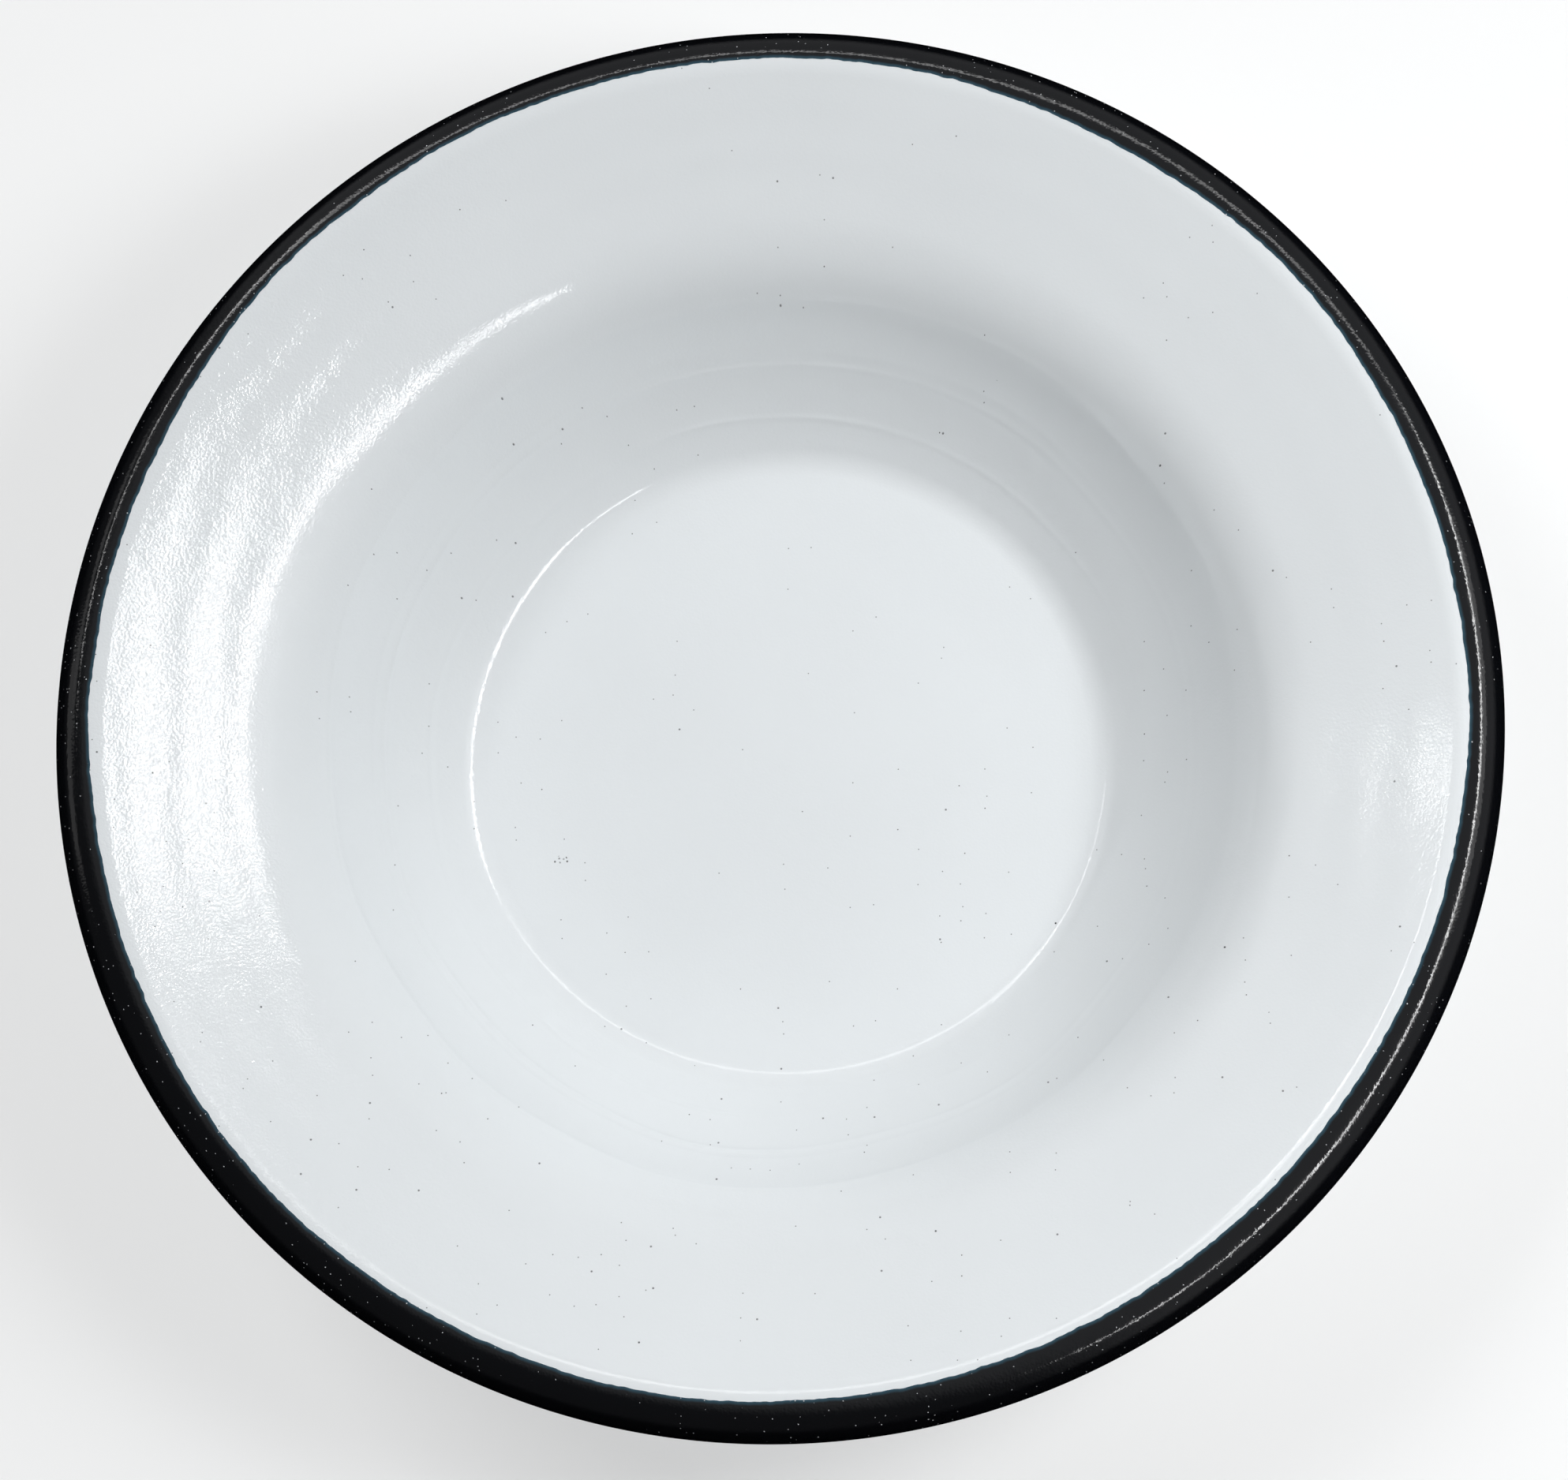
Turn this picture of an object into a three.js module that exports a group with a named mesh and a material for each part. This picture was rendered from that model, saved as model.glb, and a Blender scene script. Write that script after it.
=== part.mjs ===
// Deep dessert plate in enamelled steel: one pressed sheet with a rolled rim, fired with a dark
// ground coat and a white cover coat on both faces, and with black edging enamel on the roll.
// Millimetres and degrees, +Z up, origin on the table under the middle of the plate.
import * as THREE from "three";

// Overall size
const plateDiameter = 180; // over the black edging
const plateHeight = 33; // table to the top of the rolled rim

// Well: crowned floor, standing ring, corner, wall and shoulder
const ringInnerRadius = 33; // flat ring that the plate stands on
const ringOuterRadius = 39.3;
const crownRise = 0.8; // middle of the floor above its ring
const crownBlendWidth = 6; // hollow curve between the crown and the ring
const cornerRadius = 6.5;
const wallFootSlope = 36;
const wallTopSlope = 58;
const shoulderRadius = 14;

// Flange and rolled rim
const flangeSlope = 22;
const browRadius = 6.4; // easy bend from the flange over to the top of the rim
const edgingSlope = 4; // slope on the brow where the white ends and the black begins
const rollTopRadius = 4.1; // top of the rim to its widest point, over the black edging
const rollUnderRadius = 2.2; // widest point to the hidden edge of the sheet, over the black edging
const rollUnderTurn = 215; // angle that the sheet curls on past its widest point

// Sheet and enamel
const sheetThickness = 0.6;
const groundCoat = 0.1;
const whiteCoat = 0.2;
const edgingCoat = 0.35;
const bondGap = 0.02; // clearance between fired layers

// Facets
const sidesAround = 48;
const crownSteps = 1;
const cornerSteps = 2;
const wallSteps = 2;
const shoulderSteps = 2;
const browSteps = 2;
const rollTopSteps = 3;
const rollUnderSteps = 4;

const radians = THREE.MathUtils.degToRad;
const quarterTurn = Math.PI / 2;

// Distances from the middle of the sheet, the same on both faces
const sheetFace = sheetThickness / 2;
const groundFoot = sheetFace + bondGap;
const groundFace = groundFoot + groundCoat;
const whiteFoot = groundFace + bondGap;
const whiteFace = whiteFoot + whiteCoat;
const edgingFoot = sheetFace + bondGap;
const edgingFace = edgingFoot + edgingCoat;

// Step along an arc that turns the heading from one angle to another; a falling heading bends down.
function arcStep(radius, from, to) {
  const bend = radius * Math.sign(to - from);
  return new THREE.Vector2(bend * (Math.sin(to) - Math.sin(from)), bend * (Math.cos(from) - Math.cos(to)));
}

// Middle line of the sheet in the half plane beside the axis, as stations with a heading each.
class MiddleLine {
  constructor(radius, height) {
    this.stations = [{ at: new THREE.Vector2(radius, height), heading: 0 }];
  }

  get last() {
    return this.stations.at(-1);
  }

  line(length) {
    const { at, heading } = this.last;
    const step = new THREE.Vector2(Math.cos(heading), Math.sin(heading)).multiplyScalar(length);
    this.stations.push({ at: at.clone().add(step), heading });
    return this;
  }

  arc(radius, turn, steps) {
    const { at, heading } = this.last;
    for (let step = 1; step <= steps; step += 1) {
      const turned = heading + (turn * step) / steps;
      this.stations.push({ at: at.clone().add(arcStep(radius, heading, turned)), heading: turned });
    }
    return this;
  }

  // Number of stations so far, which marks the end of a stretch.
  get count() {
    return this.stations.length;
  }
}

// The wall's radius and the flange's length that carry the sheet from the corner to the rim's top.
function wallAndFlange(cornerEnd, rimTop) {
  const foot = radians(wallFootSlope);
  const top = radians(wallTopSlope);
  const flange = radians(flangeSlope);
  const edging = radians(edgingSlope);
  const way = rimTop.clone().sub(cornerEnd);
  way.sub(arcStep(shoulderRadius, top, flange));
  way.sub(arcStep(browRadius, flange, 0));
  way.sub(new THREE.Vector2(Math.cos(edging), Math.sin(edging)).multiplyScalar(bondGap));
  const wall = arcStep(1, foot, top);
  const along = new THREE.Vector2(Math.cos(flange), Math.sin(flange));
  const area = wall.cross(along);
  return { wallRadius: way.cross(along) / area, flangeLength: wall.cross(way) / area };
}

// Draws the sheet from the axis to its rolled edge and notes where the enamels change.
function drawSheet() {
  const foot = radians(wallFootSlope);
  const top = radians(wallTopSlope);
  const flange = radians(flangeSlope);
  const edging = radians(edgingSlope);

  const sheet = new MiddleLine(0, whiteFace + crownRise);
  const crownTurn = 2 * Math.atan(crownRise / ringInnerRadius);
  const crownRadius = (ringInnerRadius - crownBlendWidth) / Math.sin(crownTurn);
  const blendRadius = crownBlendWidth / Math.sin(crownTurn);
  sheet.arc(crownRadius, -crownTurn, crownSteps).arc(blendRadius, crownTurn, 1);
  sheet.line(ringOuterRadius - ringInnerRadius).arc(cornerRadius, foot, cornerSteps);

  const rimTop = new THREE.Vector2(plateDiameter / 2 - rollTopRadius, plateHeight - edgingFace);
  const { wallRadius, flangeLength } = wallAndFlange(sheet.last.at, rimTop);
  sheet.arc(wallRadius, top - foot, wallSteps).arc(shoulderRadius, flange - top, shoulderSteps);
  sheet.line(flangeLength).arc(browRadius, edging - flange, browSteps);
  const whiteEnd = sheet.count;
  sheet.line(bondGap).arc(browRadius, -edging, 1);
  sheet.arc(rollTopRadius - edgingFace, -quarterTurn, rollTopSteps);
  sheet.arc(rollUnderRadius - edgingFace, -radians(rollUnderTurn), rollUnderSteps);
  return { stations: sheet.stations, whiteEnd };
}

// Solid of revolution between two distances from the middle line, over a run of its stations.
function layer(stations, low, high) {
  const face = (distance) => stations.map(({ at, heading }) => {
    return new THREE.Vector2(at.x - distance * Math.sin(heading), at.y + distance * Math.cos(heading));
  });
  const outline = [...face(low), ...face(high).reverse()];
  if (outline[0].x > 0) {
    outline.push(outline[0].clone());
  }
  return new THREE.LatheGeometry(outline, sidesAround);
}

const { stations, whiteEnd } = drawSheet();
const whitened = stations.slice(0, whiteEnd);
const edged = stations.slice(whiteEnd);

const bareSteel = new THREE.MeshStandardMaterial({ color: 0x8d9296, roughness: 0.45, metalness: 1 });
const darkGround = new THREE.MeshStandardMaterial({ color: 0x1d2329, roughness: 0.3, metalness: 0 });
const whiteEnamel = new THREE.MeshStandardMaterial({ color: 0xe3e8eb, roughness: 0.15, metalness: 0 });
const blackEnamel = new THREE.MeshStandardMaterial({ color: 0x0b0c0f, roughness: 0.12, metalness: 0 });

const plate = new THREE.Group();
plate.rotation.x = quarterTurn;

function addPiece(name, geometry, material) {
  const piece = new THREE.Mesh(geometry, material);
  piece.name = name;
  plate.add(piece);
}

addPiece("steel_pressing", layer(stations, -sheetFace, sheetFace), bareSteel);
addPiece("ground_coat_inside", layer(whitened, groundFoot, groundFace), darkGround);
addPiece("ground_coat_outside", layer(whitened, -groundFace, -groundFoot), darkGround.clone());
addPiece("white_enamel_inside", layer(whitened, whiteFoot, whiteFace), whiteEnamel);
addPiece("white_enamel_outside", layer(whitened, -whiteFace, -whiteFoot), whiteEnamel.clone());
addPiece("black_edging", layer(edged, edgingFoot, edgingFace), blackEnamel);

export default plate;
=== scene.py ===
import math

import bmesh
import bpy
from mathutils import Matrix, Vector, noise


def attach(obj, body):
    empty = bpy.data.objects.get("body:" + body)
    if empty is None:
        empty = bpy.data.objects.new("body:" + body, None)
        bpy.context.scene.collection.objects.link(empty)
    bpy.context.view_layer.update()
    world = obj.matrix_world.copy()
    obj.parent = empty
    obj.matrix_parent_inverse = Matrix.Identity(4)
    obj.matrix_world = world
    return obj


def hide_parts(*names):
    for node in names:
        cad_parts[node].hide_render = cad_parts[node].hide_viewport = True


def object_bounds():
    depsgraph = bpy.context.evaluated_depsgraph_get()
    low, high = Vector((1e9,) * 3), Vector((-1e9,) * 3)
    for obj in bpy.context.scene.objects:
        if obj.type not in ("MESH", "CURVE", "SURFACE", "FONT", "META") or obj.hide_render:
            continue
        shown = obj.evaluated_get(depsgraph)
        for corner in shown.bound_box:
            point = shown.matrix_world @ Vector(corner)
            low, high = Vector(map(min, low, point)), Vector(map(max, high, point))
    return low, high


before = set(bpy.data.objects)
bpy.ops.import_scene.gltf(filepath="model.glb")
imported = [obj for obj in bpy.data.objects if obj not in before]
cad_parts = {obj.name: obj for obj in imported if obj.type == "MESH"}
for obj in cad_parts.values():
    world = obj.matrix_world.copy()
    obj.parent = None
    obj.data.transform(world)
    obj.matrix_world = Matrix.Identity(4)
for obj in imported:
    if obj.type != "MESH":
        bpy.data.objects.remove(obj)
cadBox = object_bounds()
print("frame loaded,", len(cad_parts), "nodes")

mm = 0.001
plateRadius = cadBox[1].x / mm
plateHeight = cadBox[1].z / mm


# Middle line of the pressed sheet, drawn from the axis out to the curled edge

sheet = {  # millimetres and degrees
    "crownRise": 0.8,  # middle of the floor above its ring
    "crownBlend": 6.0,
    "ringInner": 33.0,
    "ringOuter": 39.3,
    "cornerRadius": 6.5,
    "wallFoot": 36.0,
    "wallTop": 58.0,
    "shoulderRadius": 20.0,
    "flangeSlope": 22.0,
    "browRadius": 6.4,  # easy bend from the flange over to the top of the rim
    "edgingSlope": 4.0,  # slope on the brow where the black begins
    "rollTop": 4.1,  # outer radii of the roll, over the edging
    "rollUnder": 2.2,
    "underTurn": 215.0,
    "whiteLap": 4.0,  # turn past the top of the rim that the white runs on, under the black
}

face = {  # distance of each surface from the middle of the sheet
    "steel": 0.30,
    "groundFoot": 0.32,
    "ground": 0.42,
    "whiteFoot": 0.44,
    "white": 0.64,
    "lap": 0.648,  # underside of the edging where it laps over the white
    "edging": 0.67,
}


def arcStep(radius, start, end):
    bend = math.copysign(radius, end - start)
    return Vector((bend * (math.sin(end) - math.sin(start)), bend * (math.cos(start) - math.cos(end))))


def along(heading, length):
    return Vector((math.cos(heading), math.sin(heading))) * length


def planRuns():
    foot, top, flange, edge = (
        math.radians(sheet[key]) for key in ("wallFoot", "wallTop", "flangeSlope", "edgingSlope")
    )
    crownTurn = 2 * math.atan(sheet["crownRise"] / sheet["ringInner"])
    crownSpan = sheet["ringInner"] - sheet["crownBlend"]
    lap = math.radians(sheet["whiteLap"])
    rollTop = sheet["rollTop"] - face["edging"]
    rollUnder = sheet["rollUnder"] - face["edging"]

    # the wall's radius and the flange's length carry the sheet from the corner to the top of the rim
    corner = Vector((sheet["ringOuter"], face["white"])) + arcStep(sheet["cornerRadius"], 0, foot)
    rimTop = Vector((plateRadius - sheet["rollTop"], plateHeight - face["edging"]))
    way = rimTop - corner
    way -= arcStep(sheet["shoulderRadius"], top, flange) + arcStep(sheet["browRadius"], flange, 0)
    wall, out = arcStep(1, foot, top), along(flange, 1)
    area = wall.cross(out)

    return {  # name of the run: radius and turn of an arc, or length of a straight
        "crown": (crownSpan / math.sin(crownTurn), -crownTurn),
        "blend": (sheet["crownBlend"] / math.sin(crownTurn), crownTurn),
        "ring": (sheet["ringOuter"] - sheet["ringInner"], 0),
        "corner": (sheet["cornerRadius"], foot),
        "wall": (way.cross(out) / area, top - foot),
        "shoulder": (sheet["shoulderRadius"], flange - top),
        "flange": (wall.cross(way) / area, 0),
        "brow": (sheet["browRadius"], edge - flange),
        "browTop": (sheet["browRadius"], -edge),
        "rollStart": (rollTop, -lap),
        "rollTop": (rollTop, lap - math.pi / 2),
        "rollUnder": (rollUnder, -math.radians(sheet["underTurn"])),
    }


runs = planRuns()
runNames = list(runs)
runStarts = {}
spot, heading = Vector((0, face["white"] + sheet["crownRise"])), 0
for name, (size, turn) in runs.items():
    runStarts[name] = (spot.copy(), heading)
    spot += arcStep(size, heading, heading + turn) if turn else along(heading, size)
    heading += turn
print("middle line ends at", [round(value, 2) for value in spot])

fine = {  # steps on each run where the face shows
    "crown": 10, "blend": 5, "ring": 5, "corner": 20, "wall": 100, "shoulder": 40, "flange": 60,
    "brow": 14, "browTop": 6, "rollStart": 3, "rollTop": 16, "rollUnder": 24,
}
coarse = {name: max(2, count // 4) for name, count in fine.items()}  # where it is hidden


# Profiles are drawn in the XZ plane with a vertex that is extruded and spun, then spun round the axis

def drawFace(mesh, distance, first, last, steps):
    spot, heading = runStarts[first]
    spot = spot + Vector((-math.sin(heading), math.cos(heading))) * distance
    start = tip = mesh.verts.new((spot.x * mm, 0, spot.y * mm))
    for name in runNames[runNames.index(first):runNames.index(last) + 1]:
        size, turn = runs[name]
        heading = runStarts[name][1]
        if turn:
            radius = size - distance * math.copysign(1, turn)
            side = Vector((-math.sin(heading), 0, math.cos(heading))) * math.copysign(radius, turn)
            arc = bmesh.ops.spin(
                mesh, geom=[tip], cent=tip.co + side * mm, axis=(0, -1, 0),
                angle=turn, steps=steps[name],
            )
            tip = next(item for item in arc["geom_last"] if isinstance(item, bmesh.types.BMVert))
        else:
            step = along(heading, size / steps[name]) * mm
            for _ in range(steps[name]):
                tip = bmesh.ops.extrude_vert_indiv(mesh, verts=[tip])["verts"][0]
                tip.co += Vector((step.x, 0, step.y))
    return start, tip


weldDistance = 1e-6  # metres


def spinRound(mesh, around, doublings):
    # one sector is spun, then doubled until it closes: far quicker than one long spin
    turn = 2 * math.pi / 2 ** doublings
    bmesh.ops.spin(
        mesh, geom=mesh.verts[:] + mesh.edges[:], cent=(0, 0, 0), axis=(0, 0, 1),
        angle=turn, steps=around // 2 ** doublings,
    )
    for _ in range(doublings):
        whole = mesh.verts[:] + mesh.edges[:] + mesh.faces[:]
        copied = bmesh.ops.duplicate(mesh, geom=whole)["geom"]
        verts = [item for item in copied if isinstance(item, bmesh.types.BMVert)]
        bmesh.ops.rotate(mesh, verts=verts, cent=(0, 0, 0), matrix=Matrix.Rotation(turn, 3, "Z"))
        turn *= 2
    bmesh.ops.remove_doubles(mesh, verts=mesh.verts, dist=weldDistance)
    bmesh.ops.recalc_face_normals(mesh, faces=mesh.faces)


uneven = {  # what pressing and firing leave in the sheet, millimetres
    "inner": (41.0, 45.0),  # fades in past the floor's corner
    "outer": (81.0, 84.0),  # and out before the rim
    "swell": 0.035,
    "swellSize": 22.0,
    "ripple": 0.032,  # rings on the flange
    "ripplePitch": 6.6,
    "rippleWander": 3.0,  # radians that the swells shift the rings
    "rippleLean": 0.5,  # how much deeper the rings are on the left than in the middle
    "patches": 1.7,  # patches of rings to one swell
    "patchPlace": (0, 0, 5),
    "marks": ((46.2, 0.10), (51.6, 0.20), (52.9, 0.10), (57.6, 0.18)),  # lines of the drawing dies
    "markWidth": 0.35,
    "markReach": 3.0,  # widths at which a mark has run out
    "markLean": 0.3,
    "markLeast": 0.4,  # share of a mark left between the patches
}


def smoothStep(low, high, value):
    share = min(max((value - low) / (high - low), 0), 1)
    return share * share * (3 - 2 * share)


def unevenness(x, y):
    # rings and die marks are deeper towards the left than towards the right
    radius = math.hypot(x, y)
    amount = smoothStep(*uneven["inner"], radius) * (1 - smoothStep(*uneven["outer"], radius))
    if amount == 0:
        return 0
    place = Vector((x, y, 0)) / uneven["swellSize"]
    wander = noise.noise(place)
    height = uneven["swell"] * wander
    patch = noise.noise(place * uneven["patches"] + Vector(uneven["patchPlace"]))
    rings = (0.5 + 0.5 * patch) * (1 - uneven["rippleLean"] * x / radius)
    phase = 2 * math.pi * radius / uneven["ripplePitch"] + uneven["rippleWander"] * wander
    height += uneven["ripple"] * rings * math.sin(phase)
    depth = (1 - uneven["markLean"] - uneven["markLean"] * x / radius) * (uneven["markLeast"] + rings)
    for centre, rise in uneven["marks"]:
        offset = (radius - centre - wander) / uneven["markWidth"]
        if abs(offset) < uneven["markReach"]:
            height += rise * depth * math.exp(-(offset**2))
    return amount * height


sharpAngle = 40  # degrees past which an edge stays crisp


def finishPiece(name, mesh, piece, material):
    data = bpy.data.meshes.new(name)
    mesh.to_mesh(data)
    mesh.free()
    data.shade_smooth()
    data.set_sharp_from_angle(angle=math.radians(sharpAngle))
    data.materials.append(material)
    item = bpy.data.objects.new(name, data)
    bpy.context.scene.collection.objects.link(item)
    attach(item, "root")
    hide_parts(piece["node"])
    print("piece", name, len(data.polygons), "faces")


layerDoublings = 3  # an eighth of a layer is spun and the rest copied


def makeLayer(name, piece, material):
    mesh = bmesh.new()
    ends = [
        drawFace(mesh, distance, "crown", piece["last"], steps)[1]
        for distance, steps in zip(piece["faces"], piece["steps"])
    ]
    mesh.edges.new(ends)
    spinRound(mesh, piece["around"], layerDoublings)
    for vert in mesh.verts:
        vert.co.z += unevenness(vert.co.x / mm, vert.co.y / mm) * mm
    finishPiece(name, mesh, piece, material)


# Materials: nodes are added by one function, and the rest is named for what it does to the finish

def linear(hexColour):
    values = [int(hexColour[place:place + 2], 16) / 255 for place in (0, 2, 4)]
    return [v / 12.92 if v <= 0.04045 else ((v + 0.055) / 1.055) ** 2.4 for v in values] + [1]


def perMetre(sizeMm):
    return 1 / (sizeMm * mm)


def addNode(tree, kind, inputs=None, **settings):
    node = tree.nodes.new(kind)
    for name, value in settings.items():
        setattr(node, name, value)
    for socket, value in (inputs or {}).items():
        if isinstance(value, bpy.types.NodeSocket):
            tree.links.new(value, node.inputs[socket])
        else:
            node.inputs[socket].default_value = value
    return node.outputs


def newMaterial(name, constants):
    material = bpy.data.materials.new(name)
    material.use_nodes = True
    tree = material.node_tree
    shader = tree.nodes["Principled BSDF"].inputs
    for socket, value in constants.items():
        shader[socket].default_value = value
    return material, tree, shader, addNode(tree, "ShaderNodeTexCoord")["Object"]


noiseSpan = {"From Min": 0.3, "From Max": 0.7}  # most values of a noise lie in here


def paintClouds(tree, coords, size, detail, first, second):
    cloud = addNode(tree, "ShaderNodeTexNoise", {
        "Vector": coords, "Scale": perMetre(size), "Detail": detail,
    })
    colours = {0: cloud["Fac"], 6: linear(first), 7: linear(second)}  # 6 and 7 are colours A and B
    return addNode(tree, "ShaderNodeMix", colours, data_type="RGBA")[2]  # 2 is the mixed colour


dotCore = 0.55  # share of a dot's radius that is evenly dark


def paintSpots(tree, coords, colour, spots, rarity):
    # round dots, one to a cell, whose random numbers say whether the dot shows and how deep it is
    spacing, radius = spots["spacing"], spots["radius"]
    cells = addNode(
        tree, "ShaderNodeTexVoronoi", {"Vector": coords, "Scale": perMetre(spacing)},
        voronoi_dimensions=spots["dimensions"],
    )
    chance = addNode(tree, "ShaderNodeSeparateColor", {"Color": cells["Color"]})
    shown = addNode(
        tree, "ShaderNodeMath", {0: chance["Red"], 1: rarity}, operation="GREATER_THAN"
    )["Value"]
    deep = addNode(
        tree, "ShaderNodeMath", {0: chance["Green"], 1: spots["faintest"]}, operation="MAXIMUM"
    )["Value"]
    depth = addNode(tree, "ShaderNodeMath", {0: shown, 1: deep}, operation="MULTIPLY")["Value"]
    dot = addNode(tree, "ShaderNodeMapRange", {
        "Value": cells["Distance"],
        "From Min": dotCore * radius / spacing, "From Max": radius / spacing,
        "To Min": depth, "To Max": 0.0,
    })["Result"]
    colours = {0: dot, 6: colour, 7: linear(spots["colour"])}
    return addNode(tree, "ShaderNodeMix", colours, data_type="RGBA")[2]


def varyGloss(tree, coords, shader, size, roughness):
    cloud = addNode(tree, "ShaderNodeTexNoise", {
        "Vector": coords, "Scale": perMetre(size), "Detail": 2.0,
    })
    rough = addNode(tree, "ShaderNodeMapRange", {
        "Value": cloud["Fac"], **noiseSpan, "To Min": roughness[0], "To Max": roughness[1],
    })
    tree.links.new(rough["Result"], shader["Roughness"])


def orangePeel(tree, coords, shader, grains, strength=1.0):
    # grains of several sizes, each with its height, one bump over the other
    normal = None
    for size, height in grains:
        grain = addNode(tree, "ShaderNodeTexNoise", {
            "Vector": coords, "Scale": perMetre(size), "Detail": 1.0,
        })
        inputs = {"Height": grain["Fac"], "Distance": height * mm, "Strength": strength}
        if normal:
            inputs["Normal"] = normal
        normal = addNode(tree, "ShaderNodeBump", inputs)["Normal"]
    tree.links.new(normal, shader["Normal"])


def mottled(name, look):
    material, tree, shader, coords = newMaterial(name, look["constants"])
    colour = paintClouds(tree, coords, look["mottle"], 3.0, look["dark"], look["light"])
    tree.links.new(colour, shader["Base Color"])
    orangePeel(tree, coords, shader, look["peel"])
    return material


# Steel sheet

steelSheet = {
    "faces": (-face["steel"], face["steel"]),
    "steps": (coarse, coarse),
    "last": "rollUnder",
    "around": 180,
    "node": "steel_pressing",
    "slot": "steel",
}

# Cold-rolled steel, pickled: dull grey metal with a cloudy etched bloom
pickledSteel = {
    "constants": {"Roughness": 0.45, "Metallic": 1.0},
    "dark": "7d8286",
    "light": "a3a8ab",
    "mottle": 2.5,
    "peel": ((0.5, 0.006),),
}

makeLayer("steel_sheet", steelSheet, mottled("steel sheet, pickled", pickledSteel))


# Ground coat on both faces of the sheet

groundInside = {
    "faces": (face["groundFoot"], face["ground"]),
    "steps": (coarse, coarse),
    "last": "rollStart",
    "around": 180,
    "node": "ground_coat_inside",
    "slot": "ground_enamel",
}
groundOutside = {
    "faces": (-face["ground"], -face["groundFoot"]),
    "steps": (coarse, coarse),
    "last": "brow",
    "around": 180,
    "node": "ground_coat_outside",
    "slot": "ground_enamel",
}

# Ground enamel, dipped and fired: near black and half gloss, mottled where its cobalt and nickel
# oxides gather
groundEnamel = {
    "constants": {"Roughness": 0.3, "IOR": 1.52},
    "dark": "12161b",
    "light": "252c34",
    "mottle": 1.8,
    "peel": ((1.2, 0.02),),
}

groundLook = mottled("ground enamel, dipped and fired", groundEnamel)
makeLayer("ground_inside", groundInside, groundLook)
makeLayer("ground_outside", groundOutside, groundLook)


# White cover coat on both faces

whiteInside = {
    "faces": (face["whiteFoot"], face["white"]),
    "steps": (coarse, fine),
    "last": "rollStart",
    "around": 288,
    "node": "white_enamel_inside",
    "slot": "white_enamel",
}
whiteOutside = {
    "faces": (-face["white"], -face["whiteFoot"]),
    "steps": (fine, coarse),
    "last": "brow",
    "around": 288,
    "node": "white_enamel_outside",
    "slot": "white_enamel",
}

# White enamel, sprayed and fired: cool glossy glass whose orange peel breaks up every highlight, with
# pinholes where the dark ground coat shows through; the peel is drawn a little coarser than real
whiteEnamel = {
    "constants": {"IOR": 1.52},
    "white": "e6eaec",
    "shade": "e1e5e7",  # where the coat is a little thinner
    "shadeSize": 28.0,
    "roughness": (0.05, 0.10),
    "glossSize": 7.0,
    "peel": ((3.2, 0.045), (1.0, 0.014), (0.34, 0.029)),
    "wetPeel": 0.35,  # share of the peel where the spray lay wetter, everywhere but on the left
    "dryEdge": (-50.0, -30.0),  # X where the wetter spray begins and where it is full
    "pinholes": (
        {"spacing": 2.9, "radius": 0.10, "faintest": 0.75, "colour": "181c20", "dimensions": "2D"},
        {"spacing": 7.0, "radius": 0.16, "faintest": 0.75, "colour": "181c20", "dimensions": "2D"},
    ),
    "rarity": (0.78, 0.98),  # share of the cells left clean at the near left and at the far right
    "cleaner": (0.45, 0.89, 0.0),  # direction in which the pinholes grow rarer
    "cleanerSpan": (-60.0, 50.0),
    "crowding": 0.25,  # how far the pinholes gather in swarms
    "swarmSize": 16.0,
    "pits": {"spacing": 0.5, "radius": 0.16, "faintest": 0.3, "colour": "24292e", "dimensions": "2D"},
    "pitRarity": (0.3, 1.0),  # share of their cells left clean in the blotch and outside it
    "blotch": (-29.4, -12.6, 1.5),  # place of the pits on the floor
    "blotchRadius": (0.6, 1.3),
}
whiteEnamelBelow = {  # the underside, sprayed with less care
    **whiteEnamel,
    "shade": "dce0e2",
    "rarity": (0.6, 0.6),
    "peel": ((3.2, 0.07), (1.0, 0.025), (0.34, 0.03)),
}


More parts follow.
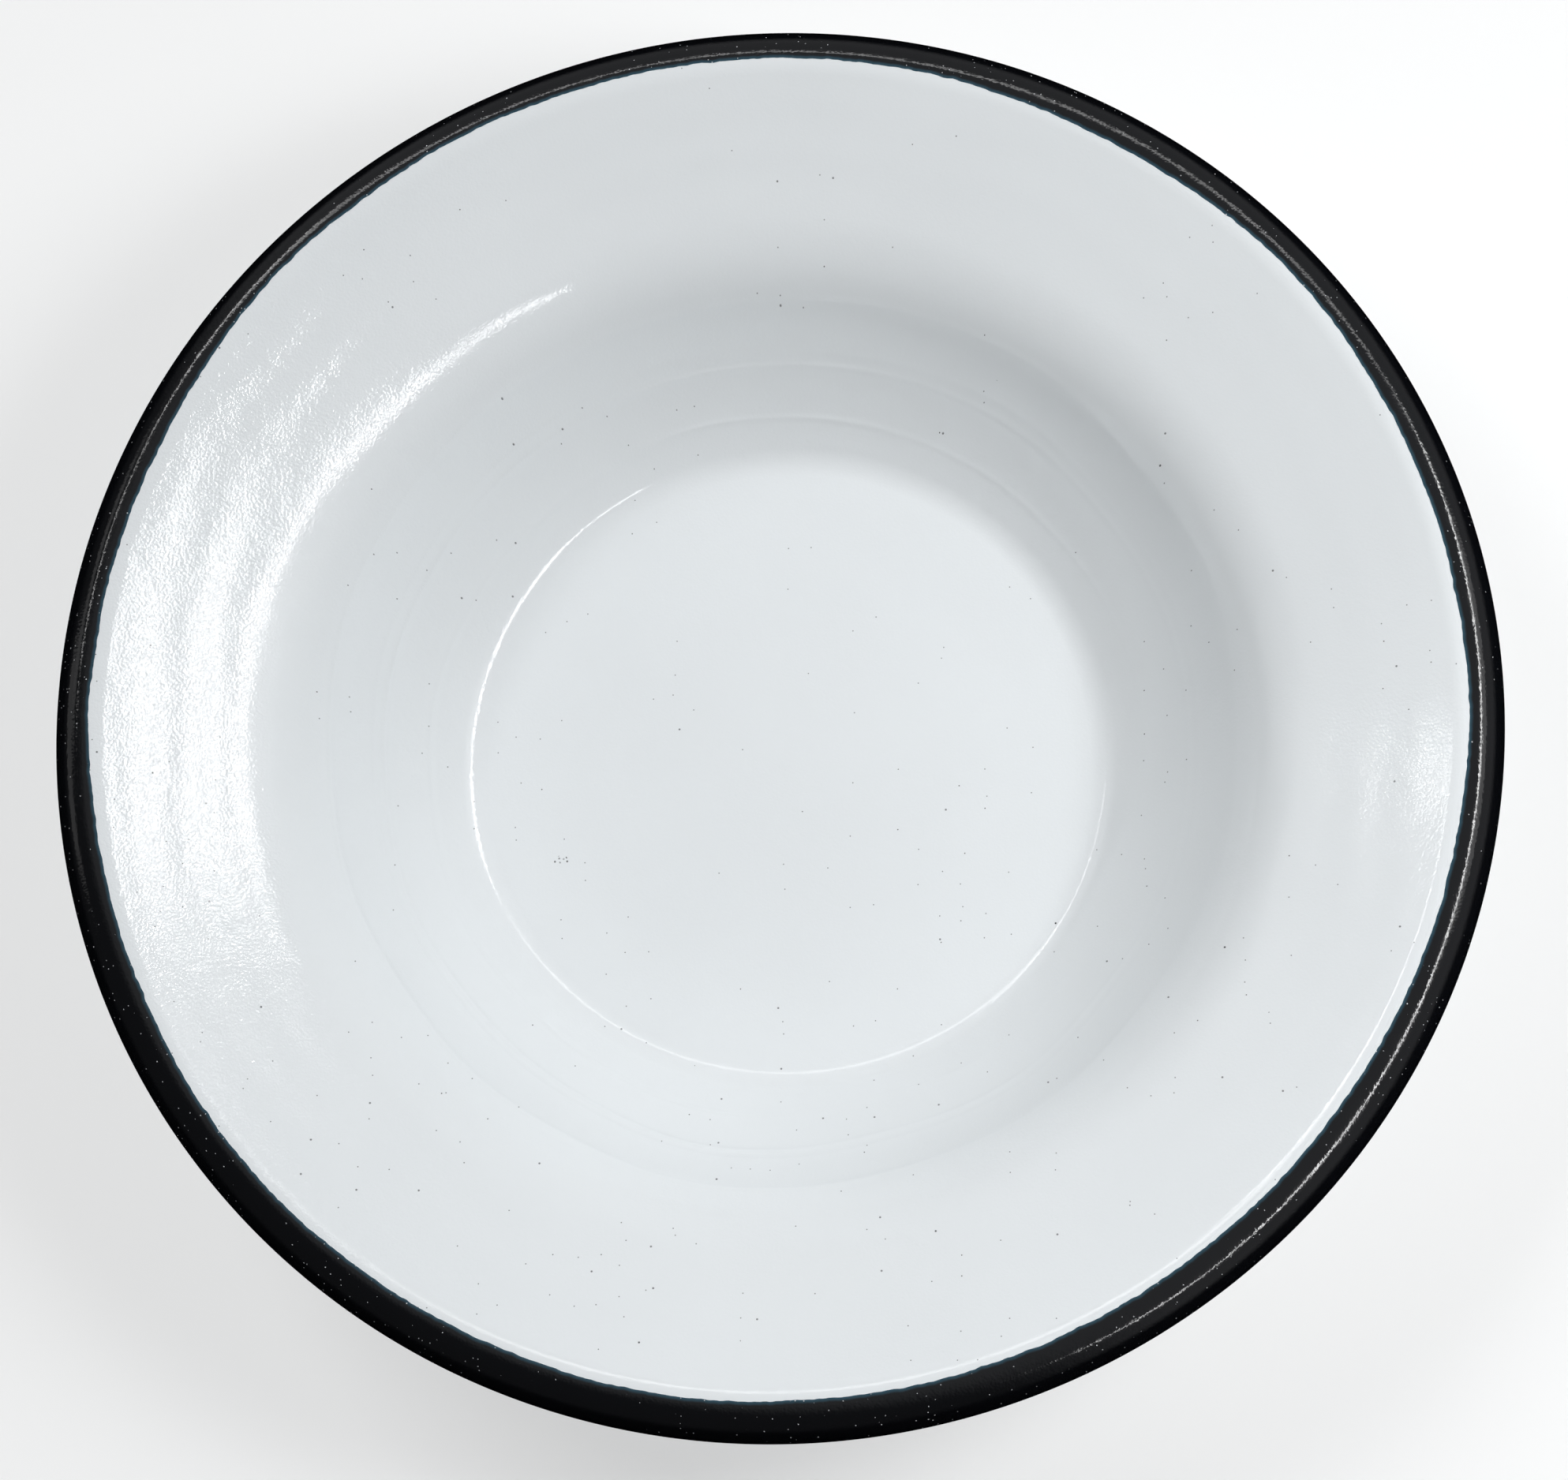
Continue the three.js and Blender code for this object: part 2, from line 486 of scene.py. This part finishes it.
def glazeWhite(name, look):
    material, tree, shader, coords = newMaterial(name, look["constants"])
    colour = paintClouds(tree, coords, look["shadeSize"], 2.0, look["white"], look["shade"])

    # pinholes, rarer towards the far right and gathered in swarms
    across = addNode(
        tree, "ShaderNodeVectorMath", {0: coords, 1: look["cleaner"]}, operation="DOT_PRODUCT"
    )["Value"]
    nearest, farthest = look["cleanerSpan"]
    nearToFar = addNode(tree, "ShaderNodeMapRange", {
        "Value": across, "From Min": nearest * mm, "From Max": farthest * mm,
        "To Min": look["rarity"][0], "To Max": look["rarity"][1],
    })["Result"]
    swarm = addNode(tree, "ShaderNodeTexNoise", {
        "Vector": coords, "Scale": perMetre(look["swarmSize"]), "Detail": 1.0,
    })["Fac"]
    clear = addNode(tree, "ShaderNodeMapRange", {
        "Value": swarm, **noiseSpan, "To Min": look["crowding"], "To Max": -look["crowding"],
    })["Result"]
    rarity = addNode(tree, "ShaderNodeMath", {0: nearToFar, 1: clear}, operation="ADD")["Value"]
    for pinholes in look["pinholes"]:
        colour = paintSpots(tree, coords, colour, pinholes, rarity)

    # blotch of pits on the floor
    centre = Vector(look["blotch"]) * mm
    away = addNode(tree, "ShaderNodeVectorMath", {0: coords, 1: centre}, operation="DISTANCE")["Value"]
    nearest, farthest = look["blotchRadius"]
    outside = addNode(tree, "ShaderNodeMapRange", {
        "Value": away, "From Min": nearest * mm, "From Max": farthest * mm,
        "To Min": look["pitRarity"][0], "To Max": look["pitRarity"][1],
    })["Result"]
    colour = paintSpots(tree, coords, colour, look["pits"], outside)
    tree.links.new(colour, shader["Base Color"])

    varyGloss(tree, coords, shader, look["glossSize"], look["roughness"])
    leftToRight = addNode(tree, "ShaderNodeSeparateXYZ", {"Vector": coords})["X"]
    nearest, farthest = look["dryEdge"]
    peelShare = addNode(tree, "ShaderNodeMapRange", {
        "Value": leftToRight, "From Min": nearest * mm, "From Max": farthest * mm,
        "To Min": 1.0, "To Max": look["wetPeel"],
    })["Result"]
    orangePeel(tree, coords, shader, look["peel"], peelShare)
    return material


whiteLook = glazeWhite("white enamel, sprayed and fired, inside", whiteEnamel)
makeLayer("white_inside", whiteInside, whiteLook)
whiteLookBelow = glazeWhite("white enamel, sprayed and fired, outside", whiteEnamelBelow)
makeLayer("white_outside", whiteOutside, whiteLookBelow)


# Black edging over the roll

blackEdge = {  # millimetres and degrees
    "around": 1440,
    "doublings": 5,
    "reach": 85.12,  # usual radius of the brushed inner edge
    "pivot": 86.6,  # the lap is drawn out or in between this radius and its edge
    "lapDepth": 1.0,  # the lap lies no deeper than this below the top of the rim
    "strokes": (  # azimuth, half width and shift of the slow wanders and slips of the brush
        (-42, 20, -0.25), (-160, 16, -0.28), (157, 9, -0.22), (61, 13, -0.55), (90, 14, 0.1),
        (118, 20, 0.25), (139, 6, 0.25), (-98, 10, 0.22), (0, 9, 0.2), (41, 6, 0.22),
        (179.6, 2.2, 0.35),
    ),
    "scallops": ((9.0, 0.10), (2.6, 0.10), (1.0, 0.13)),  # size and height of the fine raggedness
    "node": "black_edging",
    "slot": "black_enamel",
}

# Black enamel, brushed on and fired: deep glossy black that thins to navy at its inner edge, with
# clusters of pale specks and grains that make the highlight on the roll sparkle
blackEnamel = {
    "constants": {"IOR": 1.6},
    "black": "090a0d",
    "fringe": "2c4d5c",
    "fringeWidth": 0.5,
    "roughness": (0.06, 0.13),
    "glossSize": 4.0,
    "peel": ((2.4, 0.02), (0.6, 0.012), (0.3, 0.010)),
    "specks": {
        "spacing": 0.72, "radius": 0.09, "faintest": 0.5, "colour": "e6e9ec", "dimensions": "3D",
    },
    "clusterSize": 9.0,
    "clusterSpan": {"From Min": 0.35, "From Max": 0.65},
    "rarity": (1.0, 0.2),  # share of the cells left clean between the clusters and in them
}


def glazeBlack(name, look):
    material, tree, shader, coords = newMaterial(name, look["constants"])
    fromEdge = addNode(tree, "ShaderNodeAttribute", attribute_name="fromEdge")["Fac"]
    thin = addNode(tree, "ShaderNodeMapRange", {
        "Value": fromEdge, "From Min": 0.0, "From Max": look["fringeWidth"],
        "To Min": 1.0, "To Max": 0.0,
    })["Result"]
    colours = {0: thin, 6: linear(look["black"]), 7: linear(look["fringe"])}
    colour = addNode(tree, "ShaderNodeMix", colours, data_type="RGBA")[2]
    cluster = addNode(tree, "ShaderNodeTexNoise", {
        "Vector": coords, "Scale": perMetre(look["clusterSize"]), "Detail": 1.0,
    })["Fac"]
    rarity = addNode(tree, "ShaderNodeMapRange", {
        "Value": cluster, **look["clusterSpan"],
        "To Min": look["rarity"][0], "To Max": look["rarity"][1],
    })["Result"]
    colour = paintSpots(tree, coords, colour, look["specks"], rarity)
    tree.links.new(colour, shader["Base Color"])
    varyGloss(tree, coords, shader, look["glossSize"], look["roughness"])
    orangePeel(tree, coords, shader, look["peel"])
    return material


def edgeRadius(x, y):
    azimuth = math.degrees(math.atan2(y, x))
    radius = blackEdge["reach"]
    for centre, width, shift in blackEdge["strokes"]:
        away = (azimuth - centre + 180) % 360 - 180
        radius += shift * math.exp(-((away / width) ** 2))
    around = Vector((x, y, 0)).normalized() * blackEdge["reach"]
    for size, height in blackEdge["scallops"]:
        radius += height * noise.noise(around / size + Vector((0, 0, size)))
    return radius


def brushEdge(mesh):
    # the inner edge of the lap follows the brush, sliding over the brow and the top of the roll
    crest, pivot = runStarts["rollStart"][0], blackEdge["pivot"]
    nominal = min(vert.co.xy.length for vert in mesh.verts) / mm
    arcs = [(crest.y - size, size) for size in (runs["browTop"][0], runs["rollStart"][0])]
    fromEdge = mesh.verts.layers.float.new("fromEdge")
    for vert in mesh.verts:
        radius, height = vert.co.xy.length / mm, vert.co.z / mm
        if radius < pivot and height > plateHeight - blackEdge["lapDepth"]:
            outward = vert.co.xy.normalized()
            centre, size = arcs[radius > crest.x]
            distance = math.hypot(radius - crest.x, height - centre) - size
            edge = edgeRadius(vert.co.x, vert.co.y)
            radius = pivot - (pivot - radius) * (pivot - edge) / (pivot - nominal)
            centre, size = arcs[radius > crest.x]
            height = centre + math.sqrt((size + distance) ** 2 - (radius - crest.x) ** 2)
            vert.co = (outward.x * radius * mm, outward.y * radius * mm, height * mm)
            vert[fromEdge] = radius - edge
        else:
            vert[fromEdge] = pivot - blackEdge["reach"]


def makeEdge(name, material):
    mesh = bmesh.new()
    lip, outerEnd = drawFace(mesh, face["edging"], "browTop", "rollUnder", fine)
    lapStart, lapEnd = drawFace(mesh, face["lap"], "browTop", "rollStart", coarse)
    footStart, footEnd = drawFace(mesh, face["groundFoot"], "rollTop", "rollUnder", coarse)
    for pair in ((lip, lapStart), (lapEnd, footStart), (outerEnd, footEnd)):
        mesh.edges.new(pair)
    spinRound(mesh, blackEdge["around"], blackEdge["doublings"])
    brushEdge(mesh)
    finishPiece(name, mesh, blackEdge, material)


makeEdge("black_edge", glazeBlack("black enamel, brushed and fired", blackEnamel))


# Floor, light and camera

paleFloor = {
    "halfWidth": 3.0,  # metres
    "drop": 0.1,  # millimetres below the standing ring
    "constants": {
        "Base Color": linear("b4b5b5"),
        "Roughness": 0.9,
        "Emission Color": linear("ffffff"),
        "Emission Strength": 0.5,
    },
}


def makeFloor():
    mesh = bmesh.new()
    bmesh.ops.create_grid(mesh, x_segments=1, y_segments=1, size=paleFloor["halfWidth"])
    bmesh.ops.translate(mesh, verts=mesh.verts, vec=(0, 0, -paleFloor["drop"] * mm))
    data = bpy.data.meshes.new("floor")
    mesh.to_mesh(data)
    mesh.free()
    data.materials.append(newMaterial("matt pale floor", paleFloor["constants"])[0])
    floor = bpy.data.objects.new("floor", data)
    bpy.context.scene.collection.objects.link(floor)
    floor.visible_glossy = False


# Panels: ends in degrees of lean from straight up towards +X and +Y, width in degrees, distance in
# metres; soft ones light the surfaces, and narrow ones far off are only mirrored in the gloss
softPanels = {
    "right": {"ends": ((31, 0), (56, 0)), "width": 20, "distance": 0.42, "radiance": 13.6},
    "farLeft": {"ends": ((-40, 12), (-31, 42)), "width": 20, "distance": 1.2, "radiance": 7.4},
}
glossDistance = 3.0
glossPanels = {
    "strip": {"ends": ((33.5, -26), (31.4, 30)), "width": 2.8, "radiance": 17},
    "stripSide": {"ends": ((36.5, -26), (34.5, 31)), "width": 3.2, "radiance": 3},
    "stripEnd": {"ends": ((24, -37), (33.5, -26)), "width": 2.5, "radiance": 12},
    "stripTop": {"ends": ((-32, 33), (23, 31.5)), "width": 4, "radiance": 3.4},
    "stripBend": {"ends": ((23, 31.5), (31, 30)), "width": 2.5, "radiance": 3},
    "stripGlow": {"ends": ((42, 0), (42, 32)), "width": 16, "radiance": 0.9},
    "left": {"ends": ((-37.6, 19.5), (-25.8, 38.5)), "width": 1.6, "radiance": 9},
    "leftFar": {"ends": ((-50, 18), (-51, 42)), "width": 10, "radiance": 0.5},
    "leftGlow": {"ends": ((-64, 4), (-64, 38)), "width": 18, "radiance": 0.4},
}


def lean(angles):
    return Vector([math.tan(math.radians(angle)) for angle in angles] + [1]).normalized()


def makePanel(name, panel):
    distance = panel.get("distance", glossDistance)
    first, last = (lean(end) * distance for end in panel["ends"])
    outward = (first + last).normalized()
    length = last - first
    sideways = outward.cross(length).normalized()
    data = bpy.data.lights.new(name, "AREA")
    data.shape = "RECTANGLE"
    data.size = length.length
    data.size_y = 2 * distance * math.tan(math.radians(panel["width"] / 2))
    data.energy = panel["radiance"] * math.pi * data.size * data.size_y
    lamp = bpy.data.objects.new(name, data)
    turned = Matrix((sideways.cross(outward), sideways, outward)).transposed().to_4x4()
    middle = (first + last) / 2 + Vector((0, 0, plateHeight * mm))
    lamp.matrix_world = Matrix.Translation(middle) @ turned
    lamp.visible_glossy = name in glossPanels
    lamp.visible_diffuse = name in softPanels
    bpy.context.scene.collection.objects.link(lamp)


room = {  # dim on one side, fading out below the horizon
    "tint": "fafcff",
    "towards": (0.8, 0.6, 0.0),
    "sideways": {"From Min": -0.3, "From Max": 0.05, "To Min": 0.05, "To Max": 0.30},
    "upwards": {"From Min": -0.1, "From Max": 0.3},
}


def makeRoom():
    world = bpy.data.worlds.new("soft room")
    bpy.context.scene.world = world
    world.use_nodes = True
    tree = world.node_tree
    coords = addNode(tree, "ShaderNodeTexCoord")["Generated"]
    side = addNode(
        tree, "ShaderNodeVectorMath", {0: coords, 1: room["towards"]}, operation="DOT_PRODUCT"
    )["Value"]
    height = addNode(tree, "ShaderNodeSeparateXYZ", {"Vector": coords})["Z"]
    shares = {}
    for way, value in (("sideways", side), ("upwards", height)):
        span = {"Value": value, **room[way]}
        shares[way] = addNode(
            tree, "ShaderNodeMapRange", span, interpolation_type="SMOOTHSTEP"
        )["Result"]
    strength = addNode(
        tree, "ShaderNodeMath", {0: shares["sideways"], 1: shares["upwards"]}, operation="MULTIPLY"
    )["Value"]
    back = tree.nodes["Background"].inputs
    back["Color"].default_value = linear(room["tint"])
    tree.links.new(strength, back["Strength"])


view = {  # where the photograph was taken from, in millimetres, degrees and its pixels
    "distance": 600.0,
    "aim": (0, 0, 1.28),
    "tilt": 13.7,
    "turn": 75.0,
    "focalPixels": 5850.0,
    "aimPixel": (998.3, 970.4),
    "imagePixels": (1987, 1876),
    "sensor": 36.0,
    "clip": (0.01, 20.0),  # metres
}


def makeCamera():
    data = bpy.data.cameras.new("camera")
    width, height = view["imagePixels"]
    data.sensor_width = view["sensor"]
    data.lens = view["focalPixels"] / width * data.sensor_width
    data.shift_x = -(view["aimPixel"][0] - width / 2) / width
    data.shift_y = (view["aimPixel"][1] - height / 2) / width
    data.clip_start, data.clip_end = view["clip"]
    camera = bpy.data.objects.new("camera", data)
    turn = math.radians(view["turn"])
    tiltAxis = Vector((math.sin(turn), math.cos(turn), 0))
    tilt = Matrix.Rotation(math.radians(view["tilt"]), 4, tiltAxis)
    aim = Matrix.Translation(Vector(view["aim"]) * mm)
    camera.matrix_world = aim @ tilt @ Matrix.Translation((0, 0, view["distance"] * mm))
    bpy.context.scene.collection.objects.link(camera)
    bpy.context.scene.camera = camera


makeFloor()
for name, panel in {**softPanels, **glossPanels}.items():
    makePanel(name, panel)
makeRoom()
makeCamera()
bpy.context.scene.view_settings.view_transform = "Standard"
print("floor, light and camera placed")
